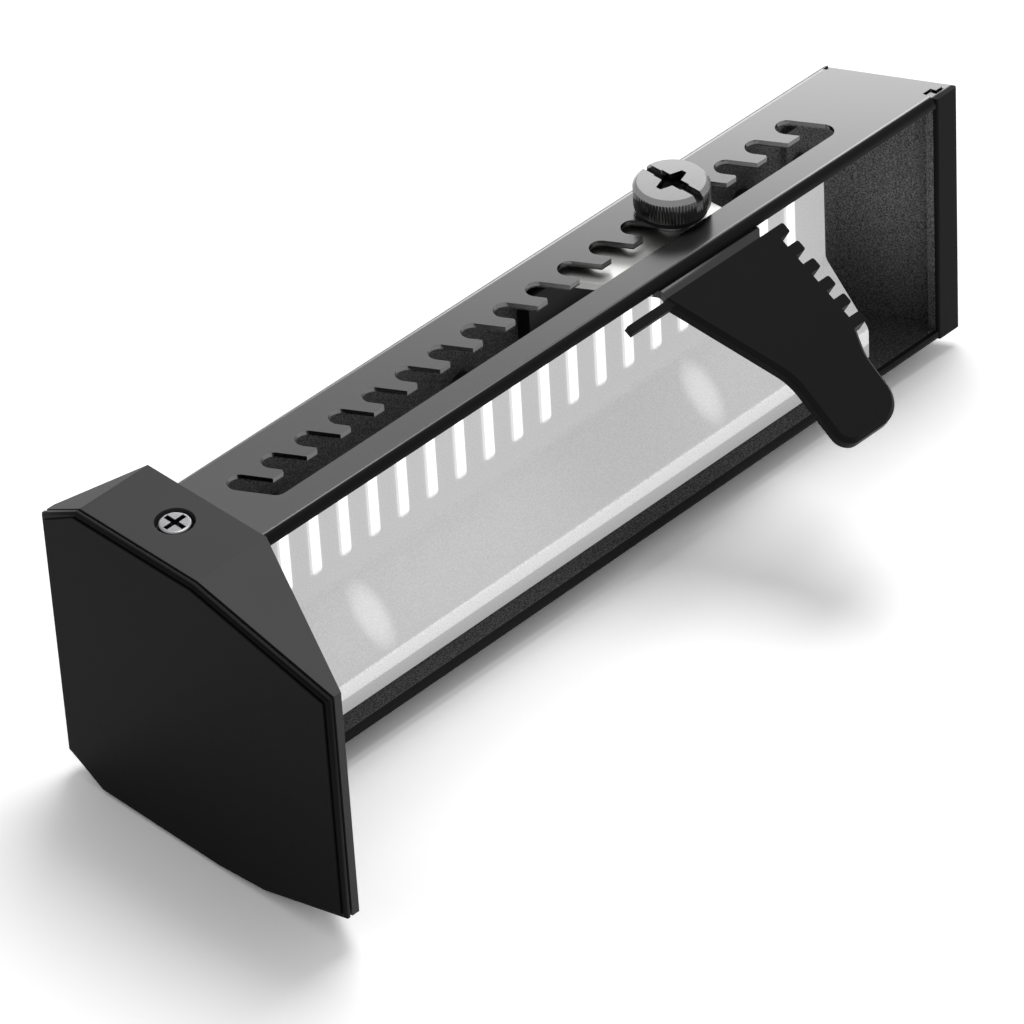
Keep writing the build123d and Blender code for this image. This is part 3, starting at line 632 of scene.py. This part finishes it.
def round_edges(bm, width, segments):
    """Makes the flats whole and rounds the edges that turn clearly."""
    bmesh.ops.dissolve_limit(bm, angle_limit=FLAT_TURN, verts=bm.verts, edges=bm.edges)
    edges = [e for e in bm.edges if len(e.link_faces) == 2 and e.calc_face_angle() > EDGE_TURN]
    bmesh.ops.bevel(bm, geom=edges, offset=width, offset_type="OFFSET", affect="EDGES",
                    segments=segments, profile=0.5, material=-1, clamp_overlap=True)


def shade_faces(bm):
    """Shades wide faces and those in one plane with them flat, and the rest smooth up to sharp edges."""
    flats = [f for f in bm.faces if 2 * f.calc_area() / f.calc_perimeter() > FLAT_WIDTH]
    for face in bm.faces:
        face.smooth = True
    while flats:
        face = flats.pop()
        face.smooth = False
        around = [f for e in face.edges for f in e.link_faces]
        flats += [f for f in around if f.smooth and f.normal.dot(face.normal) > SAME_PLANE]
    bmesh.ops.triangulate(bm, faces=[f for f in bm.faces if len(f.verts) > 4])
    for edge in bm.edges:
        edge.smooth = not (len(edge.link_faces) == 2 and edge.calc_face_angle() > SHARP_TURN)


def softened(node, name, width, segments):
    """A copy of a CAD node with its doubles merged and its edges rounded. A width of 0 keeps its edges."""
    mesh = frame["nodes"][node].data.copy()
    mesh.name = name
    bm = bmesh.new()
    bm.from_mesh(mesh)
    bmesh.ops.remove_doubles(bm, verts=bm.verts, dist=MERGE_DISTANCE)
    if width > 0:
        round_edges(bm, width, segments)
    shade_faces(bm)
    bm.to_mesh(mesh)
    bm.free()
    piece = bpy.data.objects.new(name, mesh)
    bpy.context.collection.objects.link(piece)
    return piece


def body_of(node):
    for body, nodes in frame["record"]["behaviour"]["bodies"].items():
        if node in nodes:
            return body
    raise ValueError(f"{node} has no body")


def dress(node, name, width, material, segments=2):
    """Makes a softened piece of a node, gives it a finish and lets it stand for the node."""
    piece = softened(node, name, width, segments)
    piece.data.materials.clear()
    piece.data.materials.append(material)
    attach(piece, body_of(node))
    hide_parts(node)


def paint(node, material):
    """Gives a CAD node that keeps its own shape its finish."""
    target = frame["nodes"][node]
    if not target.material_slots:
        target.data.materials.append(material)
    for slot in target.material_slots:
        slot.material = material


class BRACKET_OT_column(bpy.types.Operator):
    """Finish the folded column and its end plate"""
    bl_idname = "bracket.column"
    bl_label = "Column and end plate"

    def execute(self, context):
        edges = context.scene.bracket_edges
        steel = black_plated_steel()
        dress("column", "column_sheet", edges.sheet_edge, steel)
        dress("end_plate", "end_plate_sheet", edges.sheet_edge, steel)
        dress("end_rivets", "end_rivet_heads", edges.screw_edge, steel)
        return {"FINISHED"}


class BRACKET_OT_light(bpy.types.Operator):
    """Finish the frosted panel, its board, lights and driver"""
    bl_idname = "bracket.light"
    bl_label = "Light panel"

    def execute(self, context):
        edges = context.scene.bracket_edges
        dress("light_panel", "frosted_light_panel", edges.panel_edge, frosted_polycarbonate())
        dress("driver_module", "driver_box", edges.screw_edge, driver_case())
        paint("light_board", white_board())
        paint("lights", light_package())
        paint("cable_grommet", nitrile_rubber())
        return {"FINISHED"}


class BRACKET_OT_foot(bpy.types.Operator):
    """Finish the moulded foot, its plate, pad and magnets"""
    bl_idname = "bracket.foot"
    bl_label = "Foot"

    def execute(self, context):
        edges = context.scene.bracket_edges
        dress("foot_cap", "foot_moulding", edges.moulded_edge, moulded_abs())
        dress("base_plate", "foot_plate", edges.screw_edge, epoxy_coated_plate())
        dress("base_pad", "foot_pad", edges.screw_edge, nitrile_rubber())
        paint("magnets", zinc_plate())
        return {"FINISHED"}


class BRACKET_OT_screws(bpy.types.Operator):
    """Finish the small screws and nuts"""
    bl_idname = "bracket.screws"
    bl_label = "Small screws"

    def execute(self, context):
        edges = context.scene.bracket_edges
        zinc = zinc_plate()
        recessed_zinc = zinc_plate(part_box("cap_screw_top")[1][2])
        dress("cap_screw_top", "cap_screw_top_steel", 0, recessed_zinc)
        dress("cap_screw_bottom", "cap_screw_bottom_steel", 0, recessed_zinc)
        dress("panel_screws", "panel_screw_heads", edges.screw_edge, black_coated_steel())
        paint("base_screws", zinc)
        paint("clinch_nuts", zinc)
        return {"FINISHED"}


class BRACKET_OT_arm(bpy.types.Operator):
    """Finish the bent arm, its sleeve and its nut"""
    bl_idname = "bracket.arm"
    bl_label = "Support arm"

    def execute(self, context):
        edges = context.scene.bracket_edges
        dress("arm_bracket", "arm_sheet", edges.screw_edge, nickel_sheet())
        dress("arm_sleeve", "arm_moulding", edges.sleeve_edge, glass_filled_nylon())
        dress("arm_nut", "arm_nut_turned", edges.screw_edge, zinc_plate())
        return {"FINISHED"}


class BRACKET_OT_thumb_screw(bpy.types.Operator):
    """Finish the thumb screw and its washer"""
    bl_idname = "bracket.thumb_screw"
    bl_label = "Thumb screw"

    def execute(self, context):
        edges = context.scene.bracket_edges
        dress("thumb_screw", "thumb_screw_turned", edges.screw_edge, nickel_turned(), segments=1)
        # The washer is drawn black as painted shade, for the dark under the head
        dress("thumb_washer", "thumb_washer_shaded_black", edges.screw_edge, black_coated_steel())
        return {"FINISHED"}


def camera_turn():
    """The camera's axes from its azimuth, elevation and roll."""
    azimuth, elevation, roll = (math.radians(v) for v in (CAMERA_AZIMUTH, CAMERA_ELEVATION, CAMERA_ROLL))
    reach = math.cos(elevation)
    back = Vector((math.sin(azimuth) * reach, -math.cos(azimuth) * reach, math.sin(elevation)))
    level = Vector((math.cos(azimuth), math.sin(azimuth), 0))
    right = level * math.cos(roll) + back.cross(level) * math.sin(roll)
    return Matrix((right, back.cross(right), back)).transposed()


def add_camera():
    data = bpy.data.cameras.new("photo_camera")
    data.lens = CAMERA_LENS
    data.sensor_width = CAMERA_SENSOR
    data.clip_end = CAMERA_CLIP_END
    camera = bpy.data.objects.new("photo_camera", data)
    camera.matrix_world = Matrix.Translation([v * MM for v in CAMERA_PLACE]) @ camera_turn().to_4x4()
    bpy.context.collection.objects.link(camera)
    bpy.context.scene.camera = camera


def seen_ray(tree):
    """1 for what the camera sees directly, in a shiny piece or through a clear one, else 0."""
    path = add_node(tree, "ShaderNodeLightPath")
    seen = path["Is Camera Ray"]
    for ray in ("Is Glossy Ray", "Is Transmission Ray"):
        seen = add_node(tree, MATH, {0: seen, 1: path[ray]}, operation="MAXIMUM")[0]
    return seen


def studio_paper():
    """White background paper: white to the camera and to shiny pieces, with the shadows kept, and clear
    from below, so that the underside can be looked at."""
    material, tree, _, _ = new_material("studio_paper")
    seen = add_node(tree, RANGE, {"Value": seen_ray(tree), "To Min": 0.0, "To Max": PAPER_SEEN})[0]
    plain = add_node(tree, "ShaderNodeBsdfDiffuse", {"Color": (PAPER, PAPER, PAPER, 1)})[0]
    extra = add_node(tree, "ShaderNodeBsdfDiffuse", {"Color": seen})[0]
    paper = add_node(tree, "ShaderNodeAddShader", {0: plain, 1: extra})[0]
    below = add_node(tree, "ShaderNodeNewGeometry")["Backfacing"]
    clear = add_node(tree, "ShaderNodeBsdfTransparent")[0]
    floor = add_node(tree, MIX_SHADER, {"Fac": below, 1: paper, 2: clear})[0]
    add_node(tree, OUTPUT, {"Surface": floor})
    return material


def stage_sheet(name, size, material):
    """A flat sheet of the studio, level and centred on the origin."""
    bm = bmesh.new()
    bmesh.ops.create_grid(bm, x_segments=1, y_segments=1, size=0.5)
    bmesh.ops.scale(bm, verts=bm.verts, vec=(*size, 1))
    mesh = bpy.data.meshes.new(name)
    bm.to_mesh(mesh)
    bm.free()
    sheet = bpy.data.objects.new(name, mesh)
    sheet.data.materials.append(material)
    bpy.context.collection.objects.link(sheet)
    return sheet


def add_floor():
    floor = stage_sheet("floor", (FLOOR_SIZE, FLOOR_SIZE), studio_paper())
    floor.data.transform(Matrix.Translation((0, 0, cad_box[0][2] - FLOOR_GAP)))


def softbox_glow():
    """A softbox that is dim towards the foot's side and bright towards the column's far end."""
    material, tree, _, axes = new_material("softbox_glow")
    slanted = add_node(tree, MATH, {0: axes["Y"], 1: GLOW_TILT, 2: axes["X"]}, operation="MULTIPLY_ADD")[0]
    share = add_node(tree, RANGE, {
        "Value": slanted, "From Min": GLOW_START, "From Max": GLOW_END}, interpolation_type="SMOOTHSTEP")[0]
    strength = add_node(tree, RANGE, {"Value": share, "To Min": GLOW_LOW, "To Max": GLOW_HIGH})[0]
    glow = add_node(tree, "ShaderNodeEmission", {"Strength": strength})[0]
    add_node(tree, OUTPUT, {"Surface": glow})
    return material


def add_softbox():
    """The softbox, which only shiny pieces see."""
    box = stage_sheet("softbox", SOFTBOX_SIZE, softbox_glow())
    way = Vector(SOFTBOX_WAY).normalized()
    middle = Vector([(low + high) / 2 for low, high in zip(*cad_box)])
    along = (Vector((1, 0, 0)) - way * way.x).normalized()
    turn = Matrix((along, (-way).cross(along), -way)).transposed()
    box.matrix_world = Matrix.Translation(middle + way * SOFTBOX_DISTANCE) @ turn.to_4x4()
    box.visible_camera = False
    box.visible_diffuse = False
    box.visible_shadow = False


def add_key_lamp():
    """A square lamp over the far end, which faces the object."""
    data = bpy.data.lights.new("key_lamp", "AREA")
    data.size = KEY_SIZE
    data.energy = KEY_POWER
    lamp = bpy.data.objects.new("key_lamp", data)
    place = Vector(KEY_PLACE) * MM
    lamp.matrix_world = Matrix.Translation(place) @ place.to_track_quat("Z", "Y").to_matrix().to_4x4()
    lamp.visible_camera = False
    bpy.context.collection.objects.link(lamp)


def add_world():
    """A plain room, which is white to the camera and in shiny and clear pieces."""
    world = bpy.data.worlds.new("studio")
    world.use_nodes = True
    tree = world.node_tree
    tree.nodes.clear()
    strength = add_node(tree, RANGE, {"Value": seen_ray(tree), "To Min": WORLD_LIGHT, "To Max": 1.0})[0]
    glow = add_node(tree, "ShaderNodeBackground", {"Strength": strength})[0]
    add_node(tree, "ShaderNodeOutputWorld", {"Surface": glow})
    bpy.context.scene.world = world


class BRACKET_OT_stage(bpy.types.Operator):
    """Set the camera, the floor, the softbox, the lamp and the world"""
    bl_idname = "bracket.stage"
    bl_label = "Studio"

    def execute(self, context):
        context.scene.view_settings.view_transform = "Standard"
        add_camera()
        add_floor()
        add_softbox()
        add_key_lamp()
        add_world()
        return {"FINISHED"}


class BRACKET_PT_panel(bpy.types.Panel):
    """Buttons for the pieces of the support bracket"""
    bl_idname = "BRACKET_PT_panel"
    bl_label = "Support bracket"
    bl_space_type = "VIEW_3D"
    bl_region_type = "UI"
    bl_category = "Support bracket"

    def draw(self, context):
        for operator in OPERATORS:
            self.layout.operator(operator.bl_idname)
        for group in (context.scene.bracket_edges, context.scene.bracket_colours):
            for name in group.__annotations__:
                self.layout.prop(group, name)


OPERATORS = (
    BRACKET_OT_stage,
    BRACKET_OT_column,
    BRACKET_OT_light,
    BRACKET_OT_foot,
    BRACKET_OT_screws,
    BRACKET_OT_arm,
    BRACKET_OT_thumb_screw,
)
CLASSES = (BracketEdges, BracketColours, *OPERATORS, BRACKET_PT_panel)


def register():
    for cls in CLASSES:
        bpy.utils.register_class(cls)
    bpy.types.Scene.bracket_edges = bpy.props.PointerProperty(type=BracketEdges)
    bpy.types.Scene.bracket_colours = bpy.props.PointerProperty(type=BracketColours)


def unregister():
    del bpy.types.Scene.bracket_colours
    del bpy.types.Scene.bracket_edges
    for cls in reversed(CLASSES):
        bpy.utils.unregister_class(cls)


def main():
    register()
    for operator in OPERATORS:
        group, name = operator.bl_idname.split(".")
        getattr(getattr(bpy.ops, group), name)()


if __name__ == "__main__":
    main()
